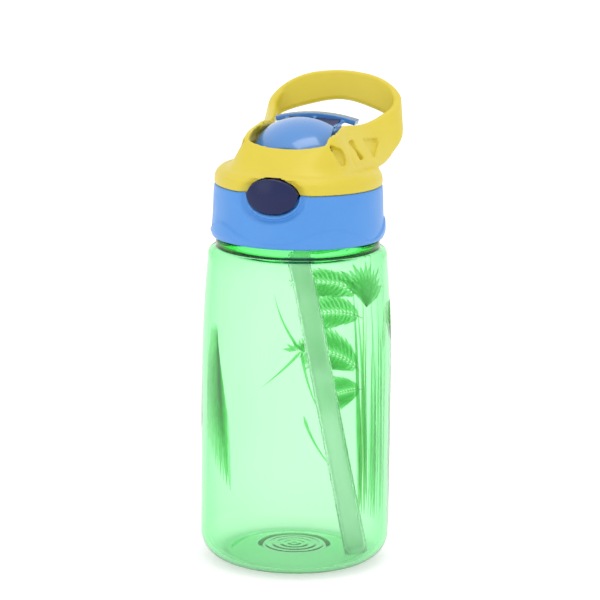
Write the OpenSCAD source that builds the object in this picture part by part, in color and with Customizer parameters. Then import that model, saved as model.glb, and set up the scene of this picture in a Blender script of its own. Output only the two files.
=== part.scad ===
// Child's drinking bottle with a screw-on flip-top lid, a carry loop and a straw.
// Millimetres. The origin is the centre of the base, +Z is up and the button faces -Y.

/* [Bottle] */
// Radius of the bottle's side
body_r = 36; // [32:0.5:46]
// Height of the side, from the base to where the shoulder turns in
body_h = 117; // [90:1:150]
// Length of the slow taper below the shoulder
taper_h = 47; // [20:1:60]
// How far the taper draws the side in
taper_in = 2; // [0.5:0.1:3]
// Wall of the bottle
wall = 1.8; // [1.2:0.1:2.6]
// Thickness of the bottom
base_t = 2.2; // [1.6:0.1:3.5]
// Radius of the rounded edge at the base
corner_r = 10; // [6:0.5:14]
// Rise of the dished underside
punt_rise = 3; // [1:0.1:5]
// Radius of the raised ring at the middle of the underside
punt_ring_r = 12; // [8:0.5:16]

/* [Neck and thread] */
// Outside radius of the neck, without its thread
neck_r = 25.6; // [22:0.2:32]
// Wall of the neck
neck_wall = 1.9; // [1.4:0.1:2.6]
// Height of the neck above the ledge
neck_h = 15.9; // [12:0.1:22]
// Height of the ledge under the lid
ledge_h = 3.6; // [2:0.1:6]
// Rise of the thread in one turn
pitch = 4; // [3:0.25:5]
// Depth of the thread
thread_d = 1.3; // [0.8:0.1:1.8]
// Turns of thread on the neck
neck_turns = 1.75; // [1:0.25:2.5]

/* [Lid] */
// Wall of the collar outside its own thread
collar_wall = 4.5; // [3.5:0.1:6]
// Height of the collar, from its lower edge to the seam
collar_h = 20; // [18:0.5:26]
// How far the collar's skirt flares
skirt_flare = 0.9; // [0:0.1:1.5]
// Thickness of the lid's floor
floor_t = 1.9; // [1.4:0.1:3]
// Thickness of the sealing ring
gasket_t = 1.5; // [1:0.1:2.5]
// Height of the drinking mouth's front lip above the seam
lip_h = 17; // [14:0.5:22]
// Distance of the lip's outer edge from the bottle's axis
lip_reach = 16.9; // [15:0.1:19]
// Height of the cheeks' peaks above the seam
cheek_h = 22.2; // [19:0.2:26]
// Half of the width between the cheeks' top edges
mouth_half_w = 15.3; // [14.5:0.1:17.5]
// How far the cheeks lean inwards, in degrees
cheek_lean = 26; // [20:1:32]
// Wall of the housing
housing_wall = 2; // [1.4:0.1:2.6]

/* [Carry loop] */
// Distance from the bottle's axis to the back of the loop
loop_reach = 55; // [48:0.5:62]
// Height of the loop's top above the seam
loop_h = 36; // [30:0.5:46]
// Height of the loop's band at the back
band_h = 11.2; // [8:0.2:14]
// Thickness of the loop's band
band_t = 3.4; // [2.5:0.1:4.5]
// Half of the loop's width
loop_half_w = 28.8; // [24:0.2:33]

/* [Button] */
// Half of the button's width
button_a = 10; // [8:0.1:12]
// Half of the button's height
button_b = 6.5; // [5:0.1:7.5]
// How far the button goes in
button_travel = 1.5; // [1:0.1:1.8]
// Gap round the button
button_gap = 0.35; // [0.2:0.05:0.6]

/* [Spout and straw] */
// Outside radius of the spout's tube
spout_r = 3.6; // [3:0.1:4.4]
// Radius of the way through the spout
spout_bore_r = 2; // [1.5:0.1:2.4]
// Length of the spout in front of its pivot
spout_len = 17; // [14:0.5:18]
// Wall of the soft mouthpiece
soft_wall = 0.9; // [0.6:0.1:1.2]
// Outside radius of the straw
straw_r = 4.35; // [3.5:0.05:5]
// Wall of the straw
straw_wall = 0.7; // [0.5:0.05:1]
// Distance from the bottle's axis to the straw's lower end
straw_foot_r = 27.4; // [18:0.2:27.6]
// Direction of the straw's lower end, round from the front towards +X
straw_foot_dir = 78; // [0:1:180]

/* [Flip cover] */
// Radius of the hinge pin
pin_r = 1.25; // [1:0.05:1.6]
// Distance of the hinge pin behind the bottle's axis
hinge_y = 15; // [13:0.5:17]
// Height of the hinge pin above the seam
hinge_h = 17; // [15:0.5:19]
// Radius of the cover's dome
dome_r = 25.5; // [23:0.5:30]
// Height of the dome's crown above the seam
dome_h = 24.4; // [23:0.1:27]
// Thickness of the cover
cover_t = 1.8; // [1.2:0.1:2.4]
// Half of the width of the thumb bar
bar_half_w = 16.2; // [14:0.1:16.4]
// Height of the middle of the thumb bar above the seam
bar_h = 24.1; // [23:0.1:28]

/* [Hidden] */

$fn = 96;
fit = 0.15;      // clearance between pieces that sit in each other
loose = 0.35;    // clearance between pieces that pass each other
run = 0.05;      // radial clearance round a pin that turns
eps = 0.02;      // overlap that joins two shapes of one piece

// levels, from the base up
shoulder_z = body_h + 4;
ledge_z = shoulder_z + ledge_h;
collar_z = ledge_z + 0.4;
rim_z = collar_z + neck_h - 0.4;
floor_z = rim_z + gasket_t;
floor_top = floor_z + floor_t;
seam_z = collar_z + collar_h;

// radii that follow the neck
crest_r = neck_r + thread_d;
collar_in_r = crest_r + 0.4;
lid_r = collar_in_r + collar_wall - 0.1;
ledge_r = lid_r - 0.7;
mouth_r = neck_r - neck_wall;

function arc(cx, cy, r, a0, a1, n) =
    [for (i = [0 : n]) let (a = a0 + (a1 - a0) * i / n) [cx + r * cos(a), cy + r * sin(a)]];

// the taper is one long arc, tangent to the straight side
taper_r = taper_h * taper_h / (2 * taper_in) + taper_in / 2;
taper_a = asin(taper_h / taper_r);
function taper(inset) = arc(body_r - taper_r, body_h - taper_h, taper_r - inset, 0, taper_a, 10);
function oval(a, b, n = 48) = [for (i = [0 : n - 1]) [a * cos(360 * i / n), b * sin(360 * i / n)]];

// a rib of the thread, swept up a helix, with its ends running out into the wall
module helix_rib(r_root, r_crest, foot_w, tip_w, turns, start_a, z0) {
    steps = ceil(turns * 40);
    out = r_crest > r_root ? 1 : -1;
    sink = r_root - out * 0.7;
    pts = [for (i = [0 : steps]) let (
            a = start_a + 360 * turns * i / steps,
            z = z0 + pitch * turns * i / steps,
            fade = min(1, min(i, steps - i) / 5),
            rc = r_root + (r_crest - r_root) * max(0.02, fade))
        each [for (p = [[sink, -foot_w / 2], [rc, -tip_w / 2], [rc, tip_w / 2], [sink, foot_w / 2]])
            [p[0] * cos(a), p[0] * sin(a), z + p[1]]]];
    side = [for (i = [0 : steps - 1]) for (k = [0 : 3]) let (k2 = (k + 1) % 4)
        each [[4 * i + k, 4 * i + k2, 4 * i + 4 + k2], [4 * i + k, 4 * i + 4 + k2, 4 * i + 4 + k]]];
    cap0 = [[3, 2, 1, 0]];
    cap1 = [[for (k = [0 : 3]) 4 * steps + k]];
    faces = concat(side, cap0, cap1);
    polyhedron(pts, out > 0 ? faces : [for (f = faces) [for (i = [len(f) - 1 : -1 : 0]) f[i]]]);
}

// drops points that fall on the one before
function spaced(p) = [for (i = [0 : len(p) - 1]) if (i == 0 || norm(p[i] - p[i - 1]) > 0.05) p[i]];

// rings of points round a path, square to it; ref is never along the path
function rings(path, r, ref, sides) = let (n = len(path)) [for (i = [0 : n - 1]) let (
        d = path[min(n - 1, i + 1)] - path[max(0, i - 1)],
        u = cross(d, ref) / norm(cross(d, ref)),
        v = cross(u, d) / norm(cross(u, d)))
    each [for (k = [0 : sides - 1]) path[i] + r * (u * cos(360 * k / sides) + v * sin(360 * k / sides))]];
function walls(n, sides, first) = [for (i = [0 : n - 2]) for (k = [0 : sides - 1])
    let (a = first + sides * i, k2 = (k + 1) % sides)
    each [[a + k, a + k2, a + sides + k2], [a + k, a + sides + k2, a + sides + k]]];

// a solid through a stack of outlines, each turning left as the stack climbs
module loft(stack) {
    n = len(stack);
    m = len(stack[0]);
    polyhedron([for (r = stack) each r], concat([for (f = walls(n, m, 0)) [f[2], f[1], f[0]]],
        [[for (k = [0 : m - 1]) k]], [[for (k = [m - 1 : -1 : 0]) m * (n - 1) + k]]));
}

// a smooth curve through the points p; t counts the points
function spline(p, t) = let (i = min(floor(t), len(p) - 2), f = t - i,
        a = p[max(i - 1, 0)], b = p[i], c = p[i + 1], d = p[min(i + 2, len(p) - 1)])
    b + f * ((c - a) + f * ((2 * a - 5 * b + 4 * c - d) + f * (3 * b - 3 * c + d - a))) / 2;

// a round wire along a path
module wire(path, r, ref, sides = 8) {
    last = sides * (len(path) - 1);
    polyhedron(rings(path, r, ref, sides), concat(walls(len(path), sides, 0),
        [[for (k = [sides - 1 : -1 : 0]) k]], [[for (k = [0 : sides - 1]) last + k]]));
}

// a hollow tube along a path
module pipe(path, r, r_in, ref, sides) {
    n = len(path);
    last = sides * (n - 1);
    inner = sides * n;
    bore = [for (f = walls(n, sides, inner)) [f[2], f[1], f[0]]];
    low_end = [for (k = [0 : sides - 1]) let (k2 = (k + 1) % sides)
        each [[k, inner + k, inner + k2], [k, inner + k2, k2]]];
    far_end = [for (k = [0 : sides - 1]) let (k2 = (k + 1) % sides)
        each [[last + k2, inner + last + k2, inner + last + k], [last + k2, inner + last + k, last + k]]];
    polyhedron(concat(rings(path, r, ref, sides), rings(path, r_in, ref, sides)),
        concat(walls(n, sides, 0), bore, low_end, far_end));
}

// the bottle
thread_z = collar_z + 3.2;   // where the neck's thread starts

module bottle_body() {
    side_r = body_r - taper_in;
    foot_r = body_r - corner_r;
    outside = concat(
        [[0, punt_rise], [punt_ring_r - 0.6, punt_rise], [punt_ring_r, punt_rise - 0.8],
         [punt_ring_r + 1, punt_rise - 0.8], [foot_r - 3, 0.5], [foot_r - 1.4, 0]],
        arc(foot_r, corner_r, corner_r, -90, 0, 10),
        taper(0),
        arc(side_r - 3, body_h + 1, 3, 5, 90, 6),
        [[ledge_r, shoulder_z], [ledge_r, ledge_z - 0.6], [ledge_r - 0.6, ledge_z],
         [neck_r, ledge_z], [neck_r, rim_z - 0.6], [neck_r - 0.6, rim_z]]);
    inside = concat(
        [[mouth_r, rim_z], [mouth_r, shoulder_z + 1.2]],
        arc(mouth_r + 2, shoulder_z + 1.2, 2, 190, 255, 4),
        arc(side_r - wall - 2.5, body_h + 0.3, 2.2, 85, 5, 5),
        [for (i = [9 : -1 : 0]) taper(wall)[i]],
        arc(foot_r, corner_r, corner_r - wall, 0, -76, 8),
        [[foot_r - 3, 0.5 + base_t], [punt_ring_r + 1, punt_rise - 0.8 + base_t],
         [0, punt_rise + base_t - 0.3]]);
    color([0.62, 0.93, 0.68, 0.5]) union() {
        rotate_extrude($fn = 128) polygon(spaced(concat(outside, inside)));
        helix_rib(neck_r, crest_r, 2.0, 0.9, neck_turns, 200, thread_z);
    }
}

// the lid: sealing ring and collar
module lid_gasket() {
    color("whitesmoke") rotate_extrude() polygon([
        [mouth_r - 0.8, floor_z], [mouth_r - 0.8, rim_z + 0.4], [mouth_r - 0.4, rim_z],
        [neck_r + 0.4, rim_z], [neck_r + 0.8, rim_z + 0.4], [neck_r + 0.8, floor_z]]);
}

button_z = seam_z - 0.6;
pocket_y = -(collar_in_r + 0.9);            // back of the button's pocket below the floor
hatch_y = -(lid_r - 8);                     // the way in for the latch, above the floor
button_back = pocket_y - button_travel - fit;
button_front = -(lid_r + 0.8);
button_root = pocket_y + 2.2;               // back of the button above the floor
dish_a = button_a + 2.7;
dish_b = button_b + 2.9;
dish_d = lid_r - sqrt(lid_r * lid_r - dish_a * dish_a);
dish_r = (dish_b * dish_b + dish_d * dish_d) / (2 * dish_d);
upstand_h = 3;
upstand_r = lid_r - housing_wall - fit;
socket_r = straw_r + 1.5;
socket_z = ledge_z - 3.2;
duct_y = 2;                                 // the spout's and the straw's place behind the axis
hub_r = 4.8;
seat_t = 1.2;
seat_gap = 0.2;
boss_r = 6.2;
spout_z = seam_z + 8.4;
seat_top = spout_z - hub_r - seat_gap;
boss_top = seat_top - seat_t;
ear_in = 7.4;                               // inner face of the ears that carry the spout
ear_t = 2.2;
trunnion_r = 1.5;
vent_x = 14;
vent_y = 8;
vent_r = 1.1;

module oval_bar(a, b, y0, y1) {
    translate([0, y1, button_z]) rotate([90, 0, 0]) linear_extrude(y1 - y0) polygon(oval(a, b));
}

// the button's hole: blind below the floor, open into the lid above it
module button_hole() {
    oval_bar(button_a + button_gap, button_b + button_gap, -lid_r - 5, pocket_y);
    intersection() {
        oval_bar(button_a + button_gap, button_b + button_gap, -lid_r - 5, hatch_y);
        translate([-lid_r, -lid_r - 5, floor_top]) cube([2 * lid_r, lid_r, 20]);
    }
    // the shallow dish round it, where a level cylinder crosses the round skirt
    translate([-dish_a - 1, -lid_r - dish_r + dish_d, button_z]) rotate([0, 90, 0])
        cylinder(r = dish_r, h = 2 * dish_a + 2);
}

module flip_x(s) {
    if (s < 0) mirror([1, 0, 0]) children();
    else children();
}

// an upright ear with a bore for the spout's trunnion
module ear() {
    translate([ear_in, 0, 0]) rotate([90, 0, 90]) linear_extrude(ear_t) union() {
        translate([duct_y - 3, floor_top - eps]) square([6, spout_z - floor_top]);
        translate([duct_y, spout_z]) circle(r = 3, $fn = 48);
    }
}

module lid_collar() {
    flare_r = lid_r + skirt_flare;
    color([0.37, 0.62, 0.90]) difference() {
        union() {
            helix_rib(collar_in_r, neck_r + 0.35, 1.0, 0.5, 1.2, 205, thread_z + pitch / 2 + 5 * pitch / 360);
            rotate_extrude($fn = 128) polygon([
                [collar_in_r, collar_z], [lid_r, collar_z], [flare_r, collar_z + 2.4],
                [flare_r, collar_z + 4.2], [lid_r + 0.5, collar_z + 9], [lid_r + 0.3, collar_z + 16],
                [lid_r, seam_z - 0.4], [lid_r - 0.3, seam_z],
                [upstand_r, seam_z], [upstand_r, seam_z + upstand_h], [upstand_r - 1.6, seam_z + upstand_h],
                [upstand_r - 1.6, floor_top], [0, floor_top], [0, floor_z], [collar_in_r, floor_z]]);
            translate([0, duct_y, floor_top - eps]) cylinder(r = boss_r, h = boss_top - floor_top + eps);
            translate([0, duct_y, socket_z]) cylinder(r = socket_r, h = floor_z - socket_z + eps);
            for (s = [-1, 1]) flip_x(s) ear();
        }
        translate([0, duct_y, socket_z - 1]) cylinder(r = spout_bore_r + 0.4, h = 60);
        translate([0, duct_y, socket_z - 1]) cylinder(r = straw_r, h = floor_z - socket_z - 0.4);
        for (s = [-1, 1]) flip_x(s) translate([ear_in - 1, duct_y, spout_z]) rotate([0, 90, 0])
            cylinder(r = trunnion_r + run, h = ear_t + 2, $fn = 48);
        translate([vent_x, vent_y, floor_z - 1]) cylinder(r = vent_r, h = floor_t + 2, $fn = 32);
        button_hole();
    }
}

// the lid: housing with its carry loop
hinge_z = seam_z + hinge_h;
lip_z = seam_z + lip_h;
peak_z = seam_z + cheek_h;
peak_y = 5.4;                             // the cheeks' peaks behind the axis
lip_dip = 1.8;                            // the lip's middle below its corners
cheek_top_x = mouth_half_w + 1.3;         // outer side of the cheeks' top edges
flare_z = seam_z + 9.5;                   // below this the hump flares out to the shoulder
shoulder_arc = 5;
shoulder_mid = seam_z + 2;                // middle of the shoulder's arc
hump_low = seam_z + 3;
hump_back = 27;
hump_n = 64;
barrel_r = 2.8;                           // the hinge's barrels
barrel_end = mouth_half_w + 0.3;          // outer ends of the cover's barrels
pin_end = cheek_top_x + tan(cheek_lean) * (peak_z - hinge_z) - 1.4;

// half width, front reach, wall and roundness of the hump at height z
function flare(z) = pow(max(0, flare_z - z), 1.5);
function hump_side(z) = cheek_top_x + tan(cheek_lean) * (peak_z - z) + 0.35 * flare(z);
function hump_front(z) = lip_reach + 1.05 * (lip_z - 1 - z) + 0.15 * flare(z);
function hump_wall(z) = z > lip_z ? housing_wall - 0.6 * (z - lip_z) / (peak_z - lip_z)
    : housing_wall + pocket_d * 0.7 * min(1, (lip_z - z) / 2.5);
function hump_round(z) = 0.4 + 0.55 * max(0, lip_z - z) / (lip_z - hump_low);
function hump_line(z, side_in, front_in) = [for (i = [0 : hump_n - 1]) let (
        a = 360 * (i + 0.5) / hump_n, c = cos(a), s = sin(a), e = hump_round(z))
    [(hump_side(z) - side_in) * sign(c) * pow(abs(c), e),
     (s < 0 ? hump_front(z) - front_in : hump_back - side_in) * sign(s) * pow(abs(s), e)]];
function at_height(line, z) = [for (p = line) [p[0], p[1], z]];

module hump_outside() {
    levels = 14;
    loft([for (i = [0 : levels]) let (z = hump_low + (peak_z + 0.5 - hump_low) * i / levels)
        at_height(hump_line(z, 0, 0), z)]);
}
module hump_inside() {
    levels = 10;
    z0 = hump_low + 0.6;
    loft([for (i = [0 : levels]) let (z = z0 + (peak_z + 1 - z0) * i / levels)
        at_height(hump_line(z, hump_wall(z), housing_wall - 0.4), z)]);
    // where the thumb bar swings down as the cover opens
    translate([-bar_half_w - loose, hinge_y, hinge_z]) rotate([0, 90, 0])
        cylinder(r = bar_swing_r + loose, h = 2 * (bar_half_w + loose));
}

// the hump's side view: the lip, the rise to the cheeks' peaks and the low back
module hump_profile() {
    rotate([90, 0, 90]) translate([0, 0, -40]) linear_extrude(80) polygon(concat(
        [[-40, seam_z - 1], [-40, lip_z], [0.9 - lip_reach, lip_z], [2 - lip_reach, lip_z + 1.1],
         [6.2 - lip_reach, lip_z + 2.6], [-1, peak_z - 1.1]],
        arc(peak_y, peak_z - 8, 8, 112, 80, 5),
        [[12, peak_z - 0.9], [19, peak_z - 2.6], [23, hinge_z - 2], [26, hinge_z - 9], [40, seam_z + 6],
         [40, seam_z - 1]]));
}
// the front lip, sagging between its corners
module lip_sag() {
    sag_r = (mouth_half_w * mouth_half_w + lip_dip * lip_dip) / (2 * lip_dip);
    intersection() {
        translate([0, -4, lip_z - lip_dip + sag_r]) rotate([90, 0, 0]) cylinder(r = sag_r, h = 20, $fn = 180);
        translate([-mouth_half_w, -lip_reach - 6, lip_z - lip_dip - 1]) cube([2 * mouth_half_w, 20, 20]);
    }
}

// outer edges of the loop's band, from inside a cheek to the middle of the back
arm_low = seam_z + 6;
loop_top = seam_z + loop_h;
low_edge = [
    [hump_side(arm_low) - 1.6, -4, arm_low + 0.4], [hump_side(arm_low) + 0.2, 9, arm_low],
    [loop_half_w - 0.9, 22, arm_low + 0.4], [loop_half_w - 0.7, loop_reach - 23, arm_low + 3],
    [loop_half_w - 0.2, loop_reach - 15, arm_low + 7], [loop_half_w - 3.5, loop_reach - 8.7, arm_low + 12],
    [loop_half_w / 2, loop_reach - 4.6, loop_top - band_h - 2.8], [0, loop_reach - 2.4, loop_top - band_h],
    [-loop_half_w / 2, loop_reach - 4.6, loop_top - band_h - 2.8]];
top_edge = [
    [cheek_top_x - 0.6, 1, peak_z - 0.8], [cheek_top_x + 0.6, 11, peak_z - 0.7],
    [cheek_top_x + 3, 22, peak_z - 1], [loop_half_w - 5.5, loop_reach - 23, loop_top - 13],
    [loop_half_w - 2.6, loop_reach - 13.6, loop_top - 9.6], [loop_half_w - 4.8, loop_reach - 6, loop_top - 6],
    [loop_half_w / 2, loop_reach - 1.2, loop_top - 1.8], [0, loop_reach, loop_top],
    [-loop_half_w / 2, loop_reach - 1.2, loop_top - 1.8]];
loop_steps = 42;

// the band's outline at t, from 0 in the cheek to 7 at the back
function loop_ring(t, side) = let (
        low = spline(low_edge, t), top = spline(top_edge, t),
        t1 = t + 0.02, t0 = max(0, t - 0.02),
        along = spline(low_edge, t1) + spline(top_edge, t1) - spline(low_edge, t0) - spline(top_edge, t0),
        up = (top - low) / norm(top - low),
        in = cross(up, along) / norm(cross(up, along)),
        b = band_t * (t < 3 ? 0.45 + 0.55 * t / 3 : 1), c = min(0.9, b / 3),
        ring = [top - up * c, low + up * c, low + in * c, low + in * (b - c), low + up * c + in * b,
            top - up * c + in * b, top + in * (b - c), top + in * c])
    [for (p = ring) [side * p[0], p[1], p[2]]];

module carry_loop() {
    loft(concat([for (i = [0 : loop_steps]) loop_ring(7 * i / loop_steps, 1)],
        [for (i = [loop_steps - 1 : -1 : 0]) loop_ring(7 * i / loop_steps, -1)]));
}

// pocket outlines on the cheek, seen from the side: along Y and up the cheek
pocket_z = seam_z + 13.3;
pocket_d = 2;
drop_shape = concat(arc(0.4, -0.6, 3.6, -115, 95, 12), [[-2.4, 4.8], [-3.2, 2.6]]);
glass_shape = [[-3, 3.8], [2.6, 4.2], [0.9, 0.2], [2.8, -4], [-1.4, -4], [-0.7, 0.2]];
wedge_shape = [[-4.4, 3.8], [6.4, 2.4], [6.2, 0.8], [-2.2, -4.4], [-4, -3.4]];
module cheek_pocket(y, stand, turn, shape) {
    translate([hump_side(pocket_z) + stand, y, pocket_z]) rotate([0, -cheek_lean, turn])
        rotate([90, 0, 90]) translate([0, 0, -pocket_d]) linear_extrude(8) polygon(shape);
}

module lid_housing() {
    skirt_in = lid_r - housing_wall;
    color([0.91, 0.83, 0.32]) difference() {
        union() {
            difference() {
                union() {
                    rotate_extrude($fn = 128) polygon(concat(
                        [[0, seam_z], [lid_r - 0.3, seam_z], [lid_r, seam_z + 0.4]],
                        arc(lid_r - shoulder_arc, shoulder_mid, shoulder_arc, 0, 90, 9),
                        [[0, shoulder_mid + shoulder_arc]]));
                    intersection() {
                        hump_outside();
                        hump_profile();
                        translate([0, 0, seam_z]) cylinder(r = lid_r - 0.1, h = 60, $fn = 128);
                    }
                }
                hump_inside();
                lip_sag();
            }
            carry_loop();
            for (s = [-1, 1]) flip_x(s) translate([barrel_end + loose, hinge_y, hinge_z]) rotate([0, 90, 0])
                cylinder(r = barrel_r, h = pin_end - barrel_end - loose + 0.4, $fn = 48);
        }
        rotate_extrude() polygon([[0, seam_z - 1], [skirt_in, seam_z - 1], [skirt_in, shoulder_mid + 1],
            [skirt_in - 3.2, shoulder_mid + 3.2], [0, shoulder_mid + 3.2]]);
        rotate([0, 90, 0]) translate([-hinge_z, hinge_y, -pin_end])
            cylinder(r = pin_r, h = 2 * pin_end, $fn = 48);
        button_hole();
        for (s = [-1, 1]) flip_x(s) {
            cheek_pocket(-11.6, -1.3, -24, drop_shape);
            cheek_pocket(3.6, 0.8, 0, glass_shape);
            cheek_pocket(17.4, 3.1, -8, wedge_shape);
        }
    }
}

// flip cover, its pin and its spring
cover_half_w = mouth_half_w - 0.4;
arm_out = cover_half_w - 2.9;
arm_t = 1.8;
arm_in = arm_out - arm_t;
dome_y = 5.4;
dome_z = seam_z + dome_h - dome_r;
dome_back = 5;
bar_top = seam_z + bar_h;
bar_arch = 2.1;       // the bar's ends below its middle
bar_front = hinge_y + 3.4;
bar_back = hinge_y + 8.4;
bar_t = 2;
bar_swing_r = norm([bar_back - hinge_y, bar_top - hinge_z]);
cap_from = [dome_back - 0.1, hinge_z + 1.4];     // top line of the hinge cap, front and back
cap_to = [bar_front + 0.1, bar_top - bar_t + 0.2];
cap_t = 1.2;

module dome() {
    intersection() {
        difference() {
            translate([0, dome_y, dome_z]) sphere(r = dome_r);
            translate([0, dome_y, dome_z]) sphere(r = dome_r - cover_t);
        }
        translate([0, 0, spout_z + spout_r + soft_wall + 0.4]) linear_extrude(30) intersection() {
            polygon(hump_line(lip_z - 1, housing_wall + loose, housing_wall + 0.8));
            polygon([[-arm_out, dome_back], [-cover_half_w, -9], [-cover_half_w, -lip_reach],
                [cover_half_w, -lip_reach], [cover_half_w, -9], [arm_out, dome_back]]);
        }
    }
}
// one side arm, from under the dome to the hinge
module cover_arm() {
    translate([arm_in, 0, 0]) rotate([90, 0, 90]) linear_extrude(arm_t) difference() {
        union() {
            polygon([[-6, lip_z - 1], [dome_back, peak_z - 2.4], [hinge_y + 1, hinge_z + barrel_r - 0.1],
                [hinge_y - 0.5, hinge_z - barrel_r + 0.1], [dome_back, hinge_z - 1]]);
            translate([hinge_y, hinge_z]) circle(r = barrel_r, $fn = 48);
        }
        translate([hinge_y, hinge_z]) circle(r = pin_r + run, $fn = 48);
    }
}
module knuckle(x0, x1) {
    translate([x0, hinge_y, hinge_z]) rotate([0, 90, 0]) difference() {
        cylinder(r = barrel_r, h = x1 - x0, $fn = 48);
        translate([0, 0, -1]) cylinder(r = pin_r + run, h = x1 - x0 + 2, $fn = 48);
    }
}
// a rib that carries the thumb bar and lies on the hinge cap
module bar_rib(x, low) {
    rib_top = bar_top - bar_t + 0.3 - bar_arch * pow(x / bar_half_w, 2);
    translate([x - 0.7, 0, 0]) rotate([90, 0, 90]) linear_extrude(1.4)
        polygon([[dome_back + 3, cap_from[1] + 1.4 - low], [dome_back + 3, cap_from[1] + 2.6],
            [bar_front, rib_top], [bar_back - 1, rib_top], [bar_back - 1, rib_top - 0.6], cap_to - [0, low]]);
}
// the arched thumb bar
module thumb_bar() {
    arch_r = (bar_half_w * bar_half_w + bar_arch * bar_arch) / (2 * bar_arch);
    half_a = asin(bar_half_w / arch_r);
    translate([0, bar_back, bar_top - arch_r]) rotate([90, 0, 0]) linear_extrude(bar_back - bar_front)
        polygon(concat(arc(0, 0, arch_r, 90 - half_a, 90 + half_a, 12),
            arc(0, 0, arch_r - bar_t, 90 + half_a, 90 - half_a, 12)));
}
tongue_x = 7.6;       // middle of the two catches, on each side of the spout
tongue_w = 2.4;
tongue_y = 2.9 - lip_reach;
catch_z = seam_z + 10;
module tongue() {
    translate([tongue_x - tongue_w / 2, 0, 0]) rotate([90, 0, 90]) linear_extrude(tongue_w)
        polygon([[tongue_y, catch_z - 1.4], [tongue_y + 0.9, catch_z - 1.4], [tongue_y + 1.7, catch_z - 0.4],
            [tongue_y + 1.7, catch_z], [tongue_y + 1.1, catch_z], [tongue_y + 1.1, lip_z],
            [tongue_y, lip_z]]);
}
module flip_cover() {
    color([0.40, 0.63, 0.90]) union() {
        dome();
        for (s = [-1, 1]) flip_x(s) {
            cover_arm();
            knuckle(arm_out - eps, barrel_end);
            bar_rib(arm_in + 0.6, 1.6);
            intersection() {
                tongue();
                translate([0, dome_y, dome_z]) sphere(r = dome_r - 0.4);
            }
        }
        bar_rib(0, 0);
        thumb_bar();
    }
}

// the dark cap between the arms, over the hinge and its spring
module hinge_cap() {
    across = cap_to - cap_from;
    down = [across[1], -across[0]] * cap_t / norm(across);
    color([0.17, 0.19, 0.34]) translate([-arm_in, 0, 0]) rotate([90, 0, 90]) linear_extrude(2 * arm_in)
        polygon([cap_from, cap_to, cap_to + down, cap_from + down]);
}

module cover_pin() {
    color("silver") translate([-pin_end, hinge_y, hinge_z]) rotate([0, 90, 0])
        cylinder(r = pin_r, h = 2 * pin_end, $fn = 48);
}

coil_r = 1.75;
wire_r = 0.35;
module cover_spring() {
    turns = 5;
    x0 = -6;
    coil = [for (i = [0 : turns * 16]) let (a = 22.5 * i)
        [x0 + 0.85 * i / 16, hinge_y + coil_r * cos(a), hinge_z + coil_r * sin(a)]];
    last = coil[len(coil) - 1];
    color("gainsboro") wire(concat([coil[0] + [0, 0, -8]], coil, [last + [0, 0.2, 2.4]]), wire_r, [1, 0, 0], 6);
}

// button, latch and return spring
module release_button() {
    ball = 23;
    color([0.15, 0.17, 0.33]) intersection() {
        union() {
            oval_bar(button_a, button_b, button_front - 1, button_back);
            intersection() {
                oval_bar(button_a, button_b, button_front - 1, button_root);
                translate([-button_a, button_front, slide_z]) cube([2 * button_a, 20, 20]);
            }
        }
        translate([0, button_front + ball, button_z]) sphere(r = ball);
    }
}

slide_z = floor_top + fit;
slide_front = button_root;
prong_y = tongue_y + 2.2;
slide_back = prong_y + 1.4;
module latch_slide() {
    color([0.20, 0.22, 0.40]) union() {
        translate([-5, slide_front, slide_z]) cube([10, 7, 3.4]);
        translate([-9, slide_front + 5, slide_z]) cube([18, slide_back - slide_front - 5, 2]);
        for (s = [-1, 1]) flip_x(s) translate([tongue_x - tongue_w / 2, 0, 0]) rotate([90, 0, 90])
            linear_extrude(tongue_w) polygon([[prong_y, slide_z], [prong_y + 1.4, slide_z],
                [prong_y + 1.4, catch_z + 1.8], [prong_y, catch_z + 1.8], [prong_y - 1.1, catch_z + 0.7],
                [prong_y - 1.1, catch_z + 0.25], [prong_y, catch_z + 0.25]]);
    }
}

module button_spring() {
    turns = 5;
    y0 = slide_back + wire_r;
    y1 = duct_y - boss_r - wire_r - 0.1;
    coil = [for (i = [0 : turns * 14]) let (a = 360 * i / 14)
        [1.3 * cos(a), y0 + (y1 - y0) * i / (turns * 14), slide_z + 1.9 + 1.3 * sin(a)]];
    color("gainsboro") wire(coil, wire_r, [0, 1, 0], 6);
}

// spout, mouthpiece, seat and spring
soft_len = 10;
module spout() {
    color("white") difference() {
        union() {
            translate([-ear_in + loose, duct_y, spout_z]) rotate([0, 90, 0])
                cylinder(r = hub_r, h = 2 * (ear_in - loose));
            translate([-ear_in - ear_t, duct_y, spout_z]) rotate([0, 90, 0])
                cylinder(r = trunnion_r, h = 2 * (ear_in + ear_t), $fn = 48);
            translate([0, duct_y, spout_z]) rotate([90, 0, 0]) cylinder(r = spout_r, h = spout_len - 1);
        }
        translate([0, duct_y + 10, spout_z]) rotate([90, 0, 0]) cylinder(r = spout_bore_r, h = 40);
    }
}
module mouthpiece() {
    color([0.85, 0.93, 0.98]) translate([0, duct_y, spout_z]) rotate([90, 0, 0]) rotate_extrude() polygon([
        [spout_r, spout_len - soft_len], [spout_r + soft_wall, spout_len - soft_len],
        [spout_r + soft_wall, spout_len - 1.2], [spout_r + soft_wall - 1.2, spout_len],
        [spout_bore_r, spout_len], [spout_bore_r, spout_len - 1], [spout_r, spout_len - 1]]);
}
module spout_seat() {
    color("white") translate([0, duct_y, boss_top]) difference() {
        cylinder(r = 4.2, h = seat_t);
        translate([0, 0, -1]) cylinder(r = spout_bore_r + 0.4, h = seat_t + 2);
    }
}
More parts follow.
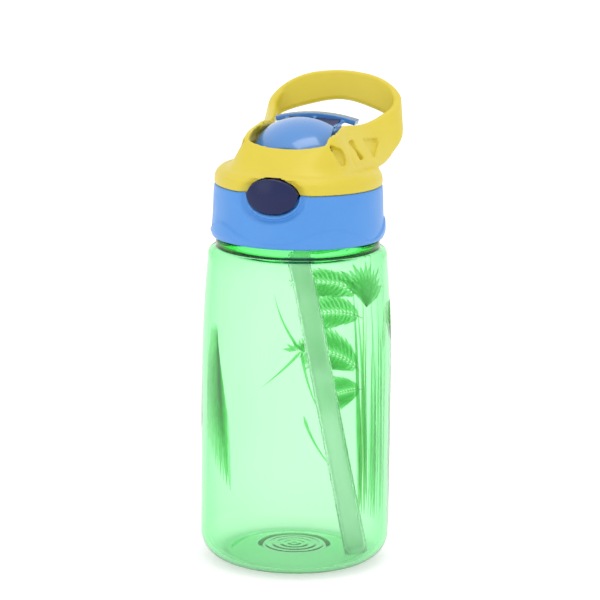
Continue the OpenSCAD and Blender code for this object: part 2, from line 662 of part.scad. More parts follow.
module spout_spring() {
    turns = 3;
    x0 = ear_in + ear_t + 0.8;
    coil = [for (i = [0 : turns * 16]) let (a = 22.5 * i + 90)
        [x0 + 0.8 * i / 16, duct_y + coil_r * cos(a), spout_z + coil_r * sin(a)]];
    last = coil[len(coil) - 1];
    color("gainsboro") wire(concat([coil[0] + [0, 3, 0.1]], coil, [last + [0, 4, 0.2]]), 0.3, [1, 0, 0], 6);
}

// straw and vent
straw_turn_z = socket_z - 1;
straw_foot_z = base_t + 2.4;
bend_r = 40;
foot_at = [straw_foot_r * sin(straw_foot_dir), -straw_foot_r * cos(straw_foot_dir) - duct_y];
foot_away = norm(foot_at);
foot_drop = straw_turn_z - straw_foot_z;
// the lean that brings the foot to its place below a bend of bend_r
function lean_after(a) = atan2(foot_away, foot_drop - bend_r * tan(a / 2));
lean = lean_after(lean_after(lean_after(atan2(foot_away, foot_drop))));

// upright in the socket, one bend, then straight to the foot, in the plane y = 0
straw_low = (foot_drop - bend_r * sin(lean)) / cos(lean);
straw_path = concat([[0, 0, floor_z - 0.8]],
    [for (i = [0 : 6]) let (a = lean * i / 6)
        [bend_r * (1 - cos(a)), 0, straw_turn_z - bend_r * sin(a)]],
    [[bend_r * (1 - cos(lean)) + straw_low * sin(lean), 0, straw_foot_z]]);

module straw() {
    color([0.72, 0.93, 0.76]) translate([0, duct_y, 0]) rotate([0, 0, atan2(foot_at[1], foot_at[0])])
        pipe(straw_path, straw_r, straw_r - straw_wall, [0, 1, 0], 32);
}

module vent_valve() {
    color("white") translate([vent_x, vent_y, 0]) union() {
        translate([0, 0, floor_z - 1]) cylinder(r = vent_r - run, h = floor_t + 1, $fn = 32);
        translate([0, 0, floor_top]) cylinder(r = 2.4, h = 0.7, $fn = 48);
        translate([0, 0, floor_z - 1.9]) cylinder(r = 1.9, h = 0.9, $fn = 48);
    }
}

bottle_body();
lid_gasket();
lid_collar();
lid_housing();
flip_cover();
hinge_cap();
cover_pin();
cover_spring();
release_button();
latch_slide();
button_spring();
spout();
mouthpiece();
spout_seat();
spout_spring();
straw();
vent_valve();
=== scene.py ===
import math
import random
import bpy
from mathutils import Matrix, Vector


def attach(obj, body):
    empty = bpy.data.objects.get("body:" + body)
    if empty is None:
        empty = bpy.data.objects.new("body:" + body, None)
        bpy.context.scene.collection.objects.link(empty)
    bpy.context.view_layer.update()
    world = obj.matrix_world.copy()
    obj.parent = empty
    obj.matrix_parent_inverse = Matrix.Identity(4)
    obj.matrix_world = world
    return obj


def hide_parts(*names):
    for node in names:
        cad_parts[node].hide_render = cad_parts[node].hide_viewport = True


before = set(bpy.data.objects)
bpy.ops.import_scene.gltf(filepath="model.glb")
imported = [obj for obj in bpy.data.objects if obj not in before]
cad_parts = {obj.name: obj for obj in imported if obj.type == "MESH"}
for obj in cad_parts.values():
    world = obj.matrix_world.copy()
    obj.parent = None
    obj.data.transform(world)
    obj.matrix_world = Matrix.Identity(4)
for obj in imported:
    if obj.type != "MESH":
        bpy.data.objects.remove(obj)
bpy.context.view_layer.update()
mm = 0.001  # all the sizes below are millimetres
print("frame loaded:", len(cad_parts), "nodes")

# camera and light

# turn is in degrees; tilt, yaw and roll are in radians
camera = {"turn": 19.0, "away": 1091.35, "height": 327.95, "tilt": 0.206, "yaw": -0.001, "roll": 0.012,
          "lens": 176.2, "sensor": 36}
studio = {
    "world": (1.0, 1.0, 1.0), "worldPower": 1.06, "floor": 2400, "floorDrop": 0.2, "floorTone": 0.62,
    "floorRough": 0.7, "floorGlow": 0.5, "aimZ": 100,
    "lamps": [("softboxFront", (-420, -700, 330), (420, 420), 0.42),
              ("softboxRight", (620, -300, 330), (260, 480), 0.2),
              ("stripTop", (60, -60, 760), (380, 180), 0.65)],
}


def makeCamera(c):
    data = bpy.data.cameras.new("camera")
    data.sensor_width = c["sensor"]
    data.lens = c["lens"]
    data.clip_end = 20
    cam = bpy.data.objects.new("camera", data)
    bpy.context.scene.collection.objects.link(cam)
    a = math.radians(c["turn"])
    turn = Matrix.Rotation(a + c["yaw"], 4, "Z")
    tilt = Matrix.Rotation(math.pi / 2 - c["tilt"], 4, "X")
    roll = Matrix.Rotation(c["roll"], 4, "Z")
    place = Vector((c["away"] * math.sin(a), -c["away"] * math.cos(a), c["height"])) * mm
    cam.matrix_world = Matrix.Translation(place) @ turn @ tilt @ roll
    bpy.context.scene.camera = cam


def areaLight(name, place, size, power, aimZ):
    data = bpy.data.lights.new(name, "AREA")
    data.shape = "RECTANGLE"
    data.size = size[0] * mm
    data.size_y = size[1] * mm
    data.energy = power
    lamp = bpy.data.objects.new(name, data)
    bpy.context.scene.collection.objects.link(lamp)
    lamp.location = Vector(place) * mm
    aim = Vector((0, 0, aimZ)) * mm - lamp.location
    lamp.rotation_euler = aim.to_track_quat("-Z", "Y").to_euler()


def makeStudio(s):
    world = bpy.data.worlds.new("studio")
    world.use_nodes = True
    bpy.context.scene.world = world
    back = world.node_tree.nodes["Background"]
    back.inputs[0].default_value = (*s["world"], 1)
    back.inputs[1].default_value = s["worldPower"]
    for name, place, size, power in s["lamps"]:
        areaLight(name, place, size, power, s["aimZ"])
    bpy.context.scene.view_settings.view_transform = "Standard"
    half = s["floor"] * mm
    corners = [(-half, -half, 0), (half, -half, 0), (half, half, 0), (-half, half, 0)]
    mesh = bpy.data.meshes.new("floor")
    mesh.from_pydata(corners, [], [(0, 1, 2, 3)])
    floor = bpy.data.objects.new("floor", mesh)
    floor.location.z = -s["floorDrop"] * mm
    bpy.context.scene.collection.objects.link(floor)
    paint = bpy.data.materials.new("palePaper")
    paint.use_nodes = True
    shader = paint.node_tree.nodes["Principled BSDF"]
    shader.inputs["Base Color"].default_value = (s["floorTone"], s["floorTone"], s["floorTone"], 1)
    shader.inputs["Roughness"].default_value = s["floorRough"]
    shader.inputs["Emission Color"].default_value = (1, 1, 1, 1)
    shader.inputs["Emission Strength"].default_value = s["floorGlow"]  # a lit table top
    mesh.materials.append(paint)


makeCamera(camera)
makeStudio(studio)
print("camera and studio are up")

# shaders


def newShader(name):
    mat = bpy.data.materials.new(name)
    mat.use_nodes = True
    tree = mat.node_tree
    return mat, tree, tree.nodes["Principled BSDF"]


def addNode(tree, kind, **inputs):
    node = tree.nodes.new(kind)
    for key, value in inputs.items():
        node.inputs[key.replace("_", " ")].default_value = value
    return node


def noiseAt(tree, scale, detail=3.0):
    where = tree.nodes.new("ShaderNodeTexCoord")
    wave = addNode(tree, "ShaderNodeTexNoise", Scale=scale, Detail=detail)
    tree.links.new(where.outputs["Object"], wave.inputs["Vector"])
    return wave


def rampBetween(tree, wave, low, high, start=0.35, stop=0.65):
    ramp = tree.nodes.new("ShaderNodeValToRGB")
    ramp.color_ramp.elements[0].position = start
    ramp.color_ramp.elements[0].color = (*low, 1)
    ramp.color_ramp.elements[1].position = stop
    ramp.color_ramp.elements[1].color = (*high, 1)
    tree.links.new(wave.outputs["Fac"], ramp.inputs["Fac"])
    return ramp


def roughBetween(tree, wave, shader, low, high):
    span = addNode(tree, "ShaderNodeMapRange", From_Min=0.3, From_Max=0.7, To_Min=low, To_Max=high)
    tree.links.new(wave.outputs["Fac"], span.inputs["Value"])
    tree.links.new(span.outputs["Result"], shader.inputs["Roughness"])


def grainBump(tree, wave, shader, strength, depth):
    bump = addNode(tree, "ShaderNodeBump", Strength=strength, Distance=depth * mm)
    tree.links.new(wave.outputs["Fac"], bump.inputs["Height"])
    tree.links.new(bump.outputs["Normal"], shader.inputs["Normal"])


# moulded plastic: a slow drift of colour, flow marks in the gloss and a fine mould grain
def mouldedPlastic(name, look):
    mat, tree, shader = newShader(name)
    drift = noiseAt(tree, 45)
    ramp = rampBetween(tree, drift, look["shade"], look["color"])
    tree.links.new(ramp.outputs["Color"], shader.inputs["Base Color"])
    roughBetween(tree, noiseAt(tree, 160), shader, look["rough"] - 0.04, look["rough"] + 0.05)
    grainBump(tree, noiseAt(tree, look["grain"], 5.0), shader, look["bump"], 0.05)
    shader.inputs["IOR"].default_value = look.get("ior", 1.5)
    shader.inputs["Coat Weight"].default_value = look.get("coat", 0)
    shader.inputs["Coat Roughness"].default_value = 0.06
    shader.inputs["Subsurface Weight"].default_value = look.get("glow", 0)
    shader.inputs["Subsurface Radius"].default_value = (1, 0.8, 0.4)
    shader.inputs["Subsurface Scale"].default_value = 1.5 * mm
    return mat


# clear plastic: tinted, with painted shade that makes the tint deeper where it is seen edge on, and the faint
# unevenness of a blown wall
def clearPlastic(name, look):
    mat, tree, shader = newShader(name)
    drift = noiseAt(tree, 22, 2.0)
    ramp = rampBetween(tree, drift, look["shade"], look["color"])
    tint = ramp.outputs["Color"]
    # painted edge shade: the base colour turns to the rim colour as the surface turns edge on to the view
    if "rim" in look:
        facing = addNode(tree, "ShaderNodeLayerWeight", Blend=0.5)
        span = addNode(tree, "ShaderNodeMapRange", From_Min=look["rimFrom"], From_Max=0.95)
        tree.links.new(facing.outputs["Facing"], span.inputs["Value"])
        edgeShadeMix = tree.nodes.new("ShaderNodeMix")
        edgeShadeMix.data_type = "RGBA"  # its colours are inputs 6 and 7 and output 2
        tree.links.new(span.outputs["Result"], edgeShadeMix.inputs["Factor"])
        tree.links.new(tint, edgeShadeMix.inputs[6])
        edgeShadeMix.inputs[7].default_value = (*look["rim"], 1)
        tint = edgeShadeMix.outputs[2]
    tree.links.new(tint, shader.inputs["Base Color"])
    roughBetween(tree, noiseAt(tree, 70), shader, look["rough"], look["rough"] + 0.03)
    grainBump(tree, noiseAt(tree, look["grain"], 2.0), shader, look["bump"], 0.2)
    shader.inputs["Transmission Weight"].default_value = look["clear"]
    shader.inputs["IOR"].default_value = look["ior"]
    if "soak" in look:  # green deepens with the length of plastic that the light goes through
        soak = tree.nodes.new("ShaderNodeVolumeAbsorption")
        soak.inputs["Color"].default_value = (*look["soak"], 1)
        soak.inputs["Density"].default_value = look["density"]
        out = next(n for n in tree.nodes if n.type == "OUTPUT_MATERIAL")
        tree.links.new(soak.outputs["Volume"], out.inputs["Volume"])
    return mat


# printed ink, thin enough to let some light through
def printedInk(name, look):
    mat, tree, shader = newShader(name)
    ramp = rampBetween(tree, noiseAt(tree, 260, 4.0), look["shade"], look["color"])
    tree.links.new(ramp.outputs["Color"], shader.inputs["Base Color"])
    roughBetween(tree, noiseAt(tree, 400), shader, 0.45, 0.6)
    grainBump(tree, noiseAt(tree, 2500, 2.0), shader, 0.15, 0.02)
    shader.inputs["Transmission Weight"].default_value = look["sheer"]
    shader.inputs["IOR"].default_value = 1.05
    return mat


# drawn spring wire and pin stock, with fine marks
def drawnSteel(name, look):
    mat, tree, shader = newShader(name)
    ramp = rampBetween(tree, noiseAt(tree, 900), look["shade"], look["color"])
    tree.links.new(ramp.outputs["Color"], shader.inputs["Base Color"])
    roughBetween(tree, noiseAt(tree, 1500), shader, 0.22, 0.4)
    grainBump(tree, noiseAt(tree, 3000), shader, 0.2, 0.02)
    shader.inputs["Metallic"].default_value = 1
    return mat


paints = {
    "bottleGreen": clearPlastic("bottleGreen", {
        "color": (0.97, 1.0, 0.975), "shade": (0.94, 1.0, 0.95), "rough": 0.02, "grain": 60, "bump": 0.06,
        # painted edge shade: the deeper green that the tint takes where the wall is seen edge on
        "clear": 1.0, "ior": 1.33, "rim": (0.50, 0.90, 0.64), "rimFrom": 0.42,
        "soak": (0.10, 0.955, 0.30), "density": 185}),
    "strawFrost": clearPlastic("strawFrost", {
        "color": (0.97, 1.0, 0.97), "shade": (0.94, 1.0, 0.95), "rough": 0.5, "grain": 900, "bump": 0.2,
        "clear": 0.8, "ior": 1.15}),
    "mouthSilicone": clearPlastic("mouthSilicone", {
        "color": (0.78, 0.90, 0.96), "shade": (0.72, 0.86, 0.94), "rough": 0.4, "grain": 1200, "bump": 0.2,
        "clear": 0.35, "ior": 1.41}),
    "collarBlue": mouldedPlastic("collarBlue", {
        "color": (0.070, 0.275, 0.69), "shade": (0.065, 0.26, 0.665),
        "rough": 0.36, "grain": 1400, "bump": 0.10,
        "glow": 0.06}),
    "coverBlue": mouldedPlastic("coverBlue", {
        "color": (0.065, 0.235, 0.58), "shade": (0.06, 0.225, 0.56),
        "rough": 0.24, "grain": 1800, "bump": 0.05,
        "coat": 0.7}),
    "housingYellow": mouldedPlastic("housingYellow", {
        "color": (0.66, 0.535, 0.036), "shade": (0.64, 0.515, 0.032),
        "rough": 0.38, "grain": 1400, "bump": 0.10,
        "glow": 0.12}),
    "buttonNavy": mouldedPlastic("buttonNavy", {
        "color": (0.006, 0.012, 0.075), "shade": (0.005, 0.010, 0.065),
        "rough": 0.24, "grain": 1500, "bump": 0.08,
        "ior": 1.38}),
    "latchNavy": mouldedPlastic("latchNavy", {
        "color": (0.03, 0.035, 0.10), "shade": (0.025, 0.03, 0.09),
        "rough": 0.5, "grain": 1500, "bump": 0.15}),
    "spoutWhite": mouldedPlastic("spoutWhite", {
        "color": (0.80, 0.83, 0.85), "shade": (0.77, 0.80, 0.83), "rough": 0.35, "grain": 1500, "bump": 0.08,
        "glow": 0.2}),
    "sealSilicone": mouldedPlastic("sealSilicone", {
        "color": (0.78, 0.79, 0.78), "shade": (0.74, 0.75, 0.74), "rough": 0.55, "grain": 1200, "bump": 0.2,
        "glow": 0.3}),
    "springSteel": drawnSteel("springSteel", {"color": (0.62, 0.63, 0.65), "shade": (0.5, 0.51, 0.53)}),
    "leafInk": printedInk("leafInk", {
        "color": (0.36, 0.82, 0.36), "shade": (0.30, 0.77, 0.30), "sheer": 0.9}),
    "stemInk": printedInk("stemInk", {
        "color": (0.52, 0.78, 0.40), "shade": (0.46, 0.72, 0.34), "sheer": 0.9}),
    "paleInk": printedInk("paleInk", {
        "color": (0.62, 0.92, 0.64), "shade": (0.55, 0.88, 0.58), "sheer": 0.92}),
}
print("mixed", len(paints), "materials")

# helpers for making pieces


def meshPiece(name, verts, faces, paint, body):
    mesh = bpy.data.meshes.new(name)
    mesh.from_pydata([Vector(v) * mm for v in verts], [], faces)
    mesh.validate()
    mesh.update()
    piece = bpy.data.objects.new(name, mesh)
    bpy.context.scene.collection.objects.link(piece)
    return finishPiece(piece, paint, body)


def finishPiece(piece, paint, body):
    piece.data.materials.clear()
    piece.data.materials.append(paints[paint])
    for face in piece.data.polygons:
        face.use_smooth = True
        face.material_index = 0
    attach(piece, body)
    return piece


# replaces a mesh by what its modifiers make of it
def applyModifiers(piece):
    graph = bpy.context.evaluated_depsgraph_get()
    made = bpy.data.meshes.new_from_object(piece.evaluated_get(graph))
    piece.modifiers.clear()
    piece.data = made


# a moulded copy of a CAD node: its corners are softened and its facets are gone
def mouldedCopy(node, name, look, shape=None):
    piece = bpy.data.objects.new(name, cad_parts[node].data.copy())
    bpy.context.scene.collection.objects.link(piece)
    weld = piece.modifiers.new("weld", "WELD")
    weld.merge_threshold = 1e-6
    remesh = piece.modifiers.new("remesh", "REMESH")
    remesh.mode = "VOXEL"
    remesh.voxel_size = look["voxel"] * mm
    soften = piece.modifiers.new("soften", "SMOOTH")
    soften.factor = 0.5
    soften.iterations = look["soften"]
    applyModifiers(piece)
    if shape:
        for v in piece.data.vertices:
            v.co = Vector(shape(v.co / mm)) * mm
    finishPiece(piece, look["paint"], look["body"])
    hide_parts(node)
    print(name, "has", len(piece.data.polygons), "faces")


# a smooth step from 0 to 1
def easeStep(x):
    x = min(1.0, max(0.0, x))
    return x * x * (3 - 2 * x)


def arcPoints(cx, cy, r, start, stop, count):
    turns = [math.radians(start + (stop - start) * i / count) for i in range(count + 1)]
    return [(cx + r * math.cos(t), cy + r * math.sin(t)) for t in turns]


# splits the long steps of an outline so that none is over the given length
def denser(points, step):
    out = [points[0]]
    for a, b in zip(points, points[1:]):
        n = max(1, math.ceil(math.dist(a, b) / step))
        out += [(a[0] + (b[0] - a[0]) * i / n, a[1] + (b[1] - a[1]) * i / n) for i in range(1, n + 1)]
    return out


# turns an outline of radius and height about the bottle's axis; swell may move a point outwards
def lathe(outline, sides, swell=None):
    verts, faces = [], []
    for k in range(sides):
        a = 2 * math.pi * k / sides
        for r, z in outline[1:-1]:
            rr = r + (swell(r, z, math.degrees(a)) if swell else 0)
            verts.append((rr * math.cos(a), rr * math.sin(a), z))
    n = len(outline) - 2
    first, last = len(verts), len(verts) + 1
    verts += [(0, 0, outline[0][1]), (0, 0, outline[-1][1])]
    for k in range(sides):
        k2 = (k + 1) % sides
        faces.append((first, k2 * n, k * n))
        faces += [(k * n + i, k2 * n + i, k2 * n + i + 1, k * n + i + 1) for i in range(n - 1)]
        faces.append((last, k * n + n - 1, k2 * n + n - 1))
    return verts, faces


# the blown bottle

bottle = {
    "bodyR": 36, "bodyH": 117, "taperH": 47, "taperIn": 2, "wall": 1.8, "baseT": 2.2, "cornerR": 10,
    "puntRise": 3, "puntRingR": 12, "puntRipple": 0.12, "neckR": 25.6, "mouthR": 23.7, "shoulderZ": 121,
    "ledgeZ": 124.6, "ledgeR": 31, "rimZ": 140.5, "threadD": 1.3, "threadZ": 128.2, "threadTurns": 1.75,
    "threadStart": 200, "pitch": 4, "sides": 224, "rippleGap": 3.0, "threadHalf": 1.05, "threadSoft": 0.6,
    "threadEnd": 0.12, "meshStep": 1.1,
}


# radius of the wide arc that draws the body in towards the shoulder
def taperRadius(b):
    return b["taperH"] ** 2 / (2 * b["taperIn"]) + b["taperIn"] / 2


def taperPoints(b, inset):
    r = taperRadius(b)
    sweep = math.degrees(math.asin(b["taperH"] / r))
    return arcPoints(b["bodyR"] - r, b["bodyH"] - b["taperH"], r - inset, 0, sweep, 12)


# outside radius of the body at a height, for the print
def wallRadius(b, z):
    if z <= b["bodyH"] - b["taperH"]:
        return b["bodyR"]
    r = taperRadius(b)
    return b["bodyR"] - r + math.sqrt(r * r - (z - b["bodyH"] + b["taperH"]) ** 2)


def bottleOutline(b):
    sideR = b["bodyR"] - b["taperIn"]
    footR = b["bodyR"] - b["cornerR"]
    rings = [(r / 2, b["puntRise"] - b["puntRipple"] * (1 - math.cos(math.pi * r / b["rippleGap"])) / 2)
             for r in range(0, 2 * b["puntRingR"] + 1)]
    outside = rings + [(b["puntRingR"] + 1.2, b["puntRise"] - 0.9), (footR - 3, 0.5), (footR - 1.4, 0)]
    outside += arcPoints(footR, b["cornerR"], b["cornerR"], -90, 0, 16)
    outside += taperPoints(b, 0)[1:]
    outside += arcPoints(sideR - 3, b["bodyH"] + 1, 3, 5, 90, 10)
    outside += [(b["ledgeR"], b["shoulderZ"]), (b["ledgeR"], b["ledgeZ"] - 0.6),
                (b["ledgeR"] - 0.6, b["ledgeZ"]),
                (b["neckR"], b["ledgeZ"]), (b["neckR"], b["rimZ"] - 0.6), (b["neckR"] - 0.6, b["rimZ"])]
    inside = [(b["mouthR"], b["rimZ"]), (b["mouthR"], b["shoulderZ"] + 1.2)]
    inside += arcPoints(b["mouthR"] + 2, b["shoulderZ"] + 1.2, 2, 190, 255, 6)
    inside += arcPoints(sideR - b["wall"] - 2.5, b["bodyH"] + 0.3, 2.2, 85, 5, 8)
    inside += taperPoints(b, b["wall"])[-2::-1]
    inside += arcPoints(footR, b["cornerR"], b["cornerR"] - b["wall"], 0, -76, 12)
    inside += [(footR - 3, 0.5 + b["baseT"]), (b["puntRingR"] + 1, b["puntRise"] - 0.8 + b["baseT"]),
               (0, b["puntRise"] + b["baseT"] - 0.3)]
    return denser(outside + inside, b["meshStep"])


# how far the thread stands out of the neck at a height and a direction
def threadSwell(r, z, a):
    b = bottle
    if abs(r - b["neckR"]) > 0.01 or z < b["ledgeZ"] + 0.5 or z > b["rimZ"] - 0.7:
        return 0
    most = 0
    for turn in range(-1, 3):
        t = (a - b["threadStart"]) / 360 + turn
        if 0 <= t <= b["threadTurns"]:
            off = abs(z - (b["threadZ"] + b["pitch"] * t))
            ends = easeStep(min(t, b["threadTurns"] - t) / b["threadEnd"])
            most = max(most, ends * easeStep((b["threadHalf"] - off) / b["threadSoft"]))
    return most * b["threadD"]


def makeBottle(b):
    verts, faces = lathe(bottleOutline(b), b["sides"], threadSwell)
    piece = meshPiece("bottleWall", verts, faces, "bottleGreen", "bottle")
    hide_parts("bottle_body")
    print("bottle wall has", len(faces), "faces")


makeBottle(bottle)

# the lid and what moves on it

collar = {"voxel": 0.46, "soften": 4, "paint": "collarBlue", "body": "lid", "slot": "collar_blue",
          "seamZ": 145, "skirtR": 30.9, "crestZ": 132.3, "troughZ": 126.5, "firstCrest": 43, "crestGap": 68.5,
          "proud": 0.55, "edge": 0.5, "fade": 0.5}
dish = {"halfW": 15.2, "halfUp": 8.6, "halfDown": 10.8, "z": 144.4, "depth": 1.2, "rim": 0.22, "reach": 24,
        "skin": 29.9, "fade": 0.6}
housing = {"voxel": 0.44, "soften": 8, "paint": "housingYellow", "body": "lid", "slot": "housing_yellow"}
cover = {"voxel": 0.26, "soften": 5, "paint": "coverBlue", "body": "cover", "slot": "cover_blue"}
button = {"voxel": 0.24, "soften": 16, "paint": "buttonNavy", "body": "button", "slot": "button_navy"}
hinge = {"voxel": 0.2, "soften": 3, "paint": "latchNavy", "body": "cover", "slot": "button_navy"}
latch = {"voxel": 0.22, "soften": 2, "paint": "latchNavy", "body": "button", "slot": "latch_navy"}
spoutLook = {"voxel": 0.2, "soften": 3, "paint": "spoutWhite", "body": "spout_unit", "slot": "spout_white"}
mouthLook = {"voxel": 0.16, "soften": 5, "paint": "mouthSilicone",
             "body": "spout_unit", "slot": "mouthpiece_soft"}


# height of the wave line round the skirt; a is counted from the button
def waveHeight(a):
    c = collar
    span = c["crestZ"] - c["troughZ"]
    if a < c["firstCrest"]:
        return c["troughZ"] + span * easeStep(a / c["firstCrest"]) ** 1.3
    return c["troughZ"] + span * (1 + math.cos(2 * math.pi * (a - c["firstCrest"]) / c["crestGap"])) / 2


# how far the skin is pressed in round the button: a flat oval dish with a soft rim
def dishDepth(p):
    d = dish
    if p.y > -d["reach"]:
        return 0
    off = math.hypot(p.x / d["halfW"], (p.z - d["z"]) / (d["halfUp"] if p.z > d["z"] else d["halfDown"]))
    return d["depth"] * easeStep((1 - off) / d["rim"])


# below the wave line the skirt stands proud, with a round edge
def skirtRelief(p):
    c = collar
    r = math.hypot(p.x, p.y)
    if r < c["skirtR"] or p.z > c["seamZ"]:
        return p
    a = abs(math.degrees(math.atan2(p.x, -p.y)))
    lift = c["proud"] * easeStep((waveHeight(a) - p.z) / c["edge"] + 0.5) - dishDepth(p)
    lift *= easeStep((r - c["skirtR"]) / c["fade"])
    return Vector((p.x * (1 + lift / r), p.y * (1 + lift / r), p.z))


# the dish runs up into the housing
def housingRelief(p):
    r = math.hypot(p.x, p.y)
    if r < dish["skin"]:
        return p
    sink = dishDepth(p) * easeStep((r - dish["skin"]) / dish["fade"])
    return Vector((p.x * (1 - sink / r), p.y * (1 - sink / r), p.z))


mouldedCopy("lid_collar", "collarShell", collar, skirtRelief)
mouldedCopy("lid_housing", "housingShell", housing, housingRelief)
mouldedCopy("flip_cover", "flipDome", cover)
mouldedCopy("hinge_cap", "hingeCap", hinge)
mouldedCopy("release_button", "pushButton", button)
mouldedCopy("latch_slide", "latchSlide", latch)
mouldedCopy("spout", "foldingSpout", spoutLook)
mouldedCopy("mouthpiece", "softMouthpiece", mouthLook)

# small inner pieces keep their own shape
keptNodes = {"cover_pin": "springSteel", "cover_spring": "springSteel", "button_spring": "springSteel",
             "spout_spring": "springSteel", "spout_seat": "sealSilicone", "lid_gasket": "sealSilicone",
             "vent_valve": "sealSilicone"}
for node, paint in keptNodes.items():
    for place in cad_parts[node].material_slots:
        place.material = paints[paint]

# the straw, bent once and running down to the side

straw = {"r": 4.35, "wall": 0.7, "topZ": 141.2, "bendZ": 120.4, "bendR": 40, "footR": 27.4, "footTurn": 78,
         "footZ": 4.6, "behind": 2, "sides": 64}


# the middle line from the lid down: straight, one bend, then straight to the foot
def strawPath(s):
    foot = Vector((s["footR"] * math.sin(math.radians(s["footTurn"])),
                   -s["footR"] * math.cos(math.radians(s["footTurn"])) - s["behind"]))
    away, drop = foot.length, s["bendZ"] - s["footZ"]
    lean = math.atan2(away, drop)
    for _ in range(4):  # the bend shortens the lower run, so the lean is found in a few passes
        lean = math.atan2(away, drop - s["bendR"] * math.tan(lean / 2))
    low = (drop - s["bendR"] * math.sin(lean)) / math.cos(lean)
    line = [(0, s["topZ"] - (s["topZ"] - s["bendZ"]) * i / 8) for i in range(8)]
    line += [(s["bendR"] * (1 - math.cos(lean * i / 16)), s["bendZ"] - s["bendR"] * math.sin(lean * i / 16))
             for i in range(17)]
    x, z = line[-1]
    line += [(x + low * math.sin(lean) * i / 30, z - low * math.cos(lean) * i / 30) for i in range(1, 31)]
    out = foot.normalized()
    return [Vector((out.x * u, out.y * u + s["behind"], h)) for u, h in line]


def makeStraw(s):
    path = strawPath(s)
    side = Vector((-(path[-1] - path[0]).y, (path[-1] - path[0]).x, 0)).normalized()
    verts, faces = [], []
    n = s["sides"]
    lip = s["r"] - s["wall"] / 2
    rings = [(p, s["r"]) for p in path] + [(path[-1], lip)]
    rings += [(p, s["r"] - s["wall"]) for p in reversed(path)] + [(path[0], lip)]
    for place, r in rings:
        i = min(range(len(path)), key=lambda k: (path[k] - place).length)
        along = (path[min(i + 1, len(path) - 1)] - path[max(i - 1, 0)]).normalized()
        up = along.cross(side).normalized()
        turns = [2 * math.pi * k / n for k in range(n)]
        verts += [place + r * (side * math.cos(t) + up * math.sin(t)) for t in turns]
    for i in range(len(rings)):
        i2 = (i + 1) % len(rings)
        for k in range(n):
            k2 = (k + 1) % n
            faces.append((i * n + k, i2 * n + k, i2 * n + k2, i * n + k2))
    piece = meshPiece("bentStraw", verts, faces, "strawFrost", "lid")
    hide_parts("straw")
    print("straw has", len(faces), "faces")


makeStraw(straw)

# the print: plain leaves, stems and grass

leafPrint = {
    "stand": 0.05, "thick": 0.04, "step": 0.9, "seed": 7, "topGap": 0.5, "tallTurn": 152,
    "grass": 18, "grassFrom": 106, "grassGap": 2.7, "broad": 14, "broadFrom": 246, "broadGap": 3.6,
    # each frond: direction, height, heading, length, droop, size of its leaves
    "fronds": [(152, 96, 62, 32, 40, 11), (150, 88, 78, 29, 35, 10), (152, 66, 55, 28, 45, 12),
               (150, 60, 100, 22, 20, 9)],
    # each climber: direction, height, heading, length, droop
    "climbers": [(196, 72, -40, 26, 28), (196, 72, -140, 22, 18), (196, 72, 12, 15, 10),
                 (196, 72, 172, 30, -22),
                 (194, 46, 165, 30, -40), (196, 72, 88, 9, 4)],
}


# how far round the wall a direction lies, in mm
def roundTo(turn):
    return math.radians(turn) * bottle["bodyR"]


# a point of the print: how far round the wall in degrees from the button, and its height
def onWall(turn, z, lift):
    r = wallRadius(bottle, z) + lift
    a = math.radians(turn)
    return (r * math.sin(a), -r * math.cos(a), z)


# everything printed in one colour
class PrintSheet:
    def __init__(self):
        self.verts = []
        self.faces = []

    # a blade that follows a curved line on the wall, widest at a share of its length
    def blade(self, line, width, peak=0.4, frill=0.0, teeth=9):
        dense = denser(line, leafPrint["step"])
        n = len(dense) - 1
        start = len(self.verts)
        for i, (u, z) in enumerate(dense):
            t = i / n
            a, b = dense[max(0, i - 1)], dense[min(n, i + 1)]
            du, dz = b[0] - a[0], b[1] - a[1]
            size = math.hypot(du, dz) or 1
            du, dz = du / size, dz / size
            grow = (t / peak) ** 0.7 if t < peak else ((1 - t) / (1 - peak)) ** 0.8
            half = width / 2 * max(0.06, grow) * (1 + frill * math.sin(2 * math.pi * teeth * t))
            for side in (-1, 0, 1):
                uu, zz = u - dz * half * side, z + du * half * side
                zz = min(zz, bottle["bodyH"] - leafPrint["topGap"])
                self.verts.append(onWall(math.degrees(uu / bottle["bodyR"]), zz, leafPrint["stand"]))
        for i in range(n):
            for s in (0, 1):
                q = start + 3 * i + s
                self.faces.append((q, q + 3, q + 4, q + 1))

    def finish(self, name, paint):
        piece = meshPiece(name, self.verts, self.faces, paint, "bottle")
        thick = piece.modifiers.new("thick", "SOLIDIFY")
        thick.thickness = leafPrint["thick"] * mm
        thick.offset = 1
        applyModifiers(piece)
        print(name, "has", len(piece.data.polygons), "faces")


# a bowed line from a start, given its heading in degrees from upright, its length and how far it droops
def bowed(u, z, heading, length, droop, steps=10):
    line = [(u, z)]
    for i in range(steps):
        a = math.radians(heading + droop * (i + 0.5) / steps)
        u += math.sin(a) * length / steps
        z += math.cos(a) * length / steps
        line.append((u, z))
    return line


def palmFan(sheet, turn, z, spread, count, length, width, chance):
    u = roundTo(turn)
    for i in range(count):
        heading = -spread + 2 * spread * i / (count - 1)
        reach = length * (0.85 + 0.3 * chance.random())
        sheet.blade(bowed(u, z, heading, reach, heading * 0.5), width, 0.55, 0.10, 7)


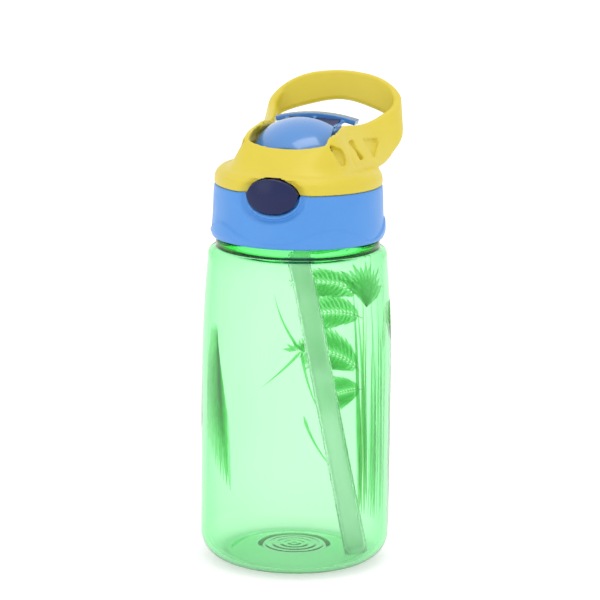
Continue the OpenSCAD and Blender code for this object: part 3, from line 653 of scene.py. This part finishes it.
def fernFrond(sheet, stems, turn, z, heading, length, droop, leaf, chance):
    u = roundTo(turn)
    spine = bowed(u, z, heading, length, droop, 16)
    stems.blade(spine, 0.7, 0.1)
    for i in range(2, 17):
        (u0, z0), (u1, z1) = spine[i - 1], spine[i]
        along = math.degrees(math.atan2(u1 - u0, z1 - z0))
        size = leaf * math.sin(math.pi * (i / 18) ** 0.8) * (0.9 + 0.2 * chance.random())
        for side in (-1, 1):
            sheet.blade(bowed(u1, z1, along + side * 58, size, -side * 18, 5), size * 0.32, 0.4)


def makePrint():
    chance = random.Random(leafPrint["seed"])
    leaves, stems, pale = PrintSheet(), PrintSheet(), PrintSheet()
    # the tall stem on the far right, with its crown
    u = roundTo(leafPrint["tallTurn"])
    stems.blade(bowed(u, 10, -2, 92, 3), 2.6, 0.2)
    stems.blade(bowed(u - 3, 10, 1, 84, -2), 1.6, 0.2)
    palmFan(leaves, 147, 93, 44, 11, 22, 3.8, chance)
    for frond in leafPrint["fronds"]:
        fernFrond(leaves, stems, *frond, chance)
    # tall grass along the right side
    for i in range(leafPrint["grass"]):
        turn = leafPrint["grassFrom"] + leafPrint["grassGap"] * i + 2 * chance.random()
        sheet = (leaves, pale)[i % 2]
        sheet.blade(bowed(roundTo(turn), 9 + 6 * chance.random(), -4 + 8 * chance.random(),
                          64 + 34 * chance.random(), 6 * chance.random()), 2.8, 0.35)
    fernFrond(leaves, stems, 122, 78, -20, 26, -30, 8, chance)
    # a thin climber across the back
    for turn, z, heading, length, droop in leafPrint["climbers"]:
        leaves.blade(bowed(roundTo(turn), z, -heading, length, -droop), 1.3, 0.1)
    for i in range(7):
        leaves.blade(bowed(roundTo(193 + 1.2 * i), 72, -75 + 25 * i, 5, 10, 5), 1.6, 0.4)
    # broad blades on the left side
    for i in range(leafPrint["broad"]):
        turn = leafPrint["broadFrom"] + leafPrint["broadGap"] * i
        sheet = (pale, leaves)[i % 2]
        sheet.blade(bowed(roundTo(turn), 18 + 2.5 * i, 6 - 2 * i, 66 - 2 * i, 8), 5, 0.45, 0.06, 11)
    leaves.finish("printLeaves", "leafInk")
    stems.finish("printStems", "stemInk")
    pale.finish("printGrass", "paleInk")


makePrint()
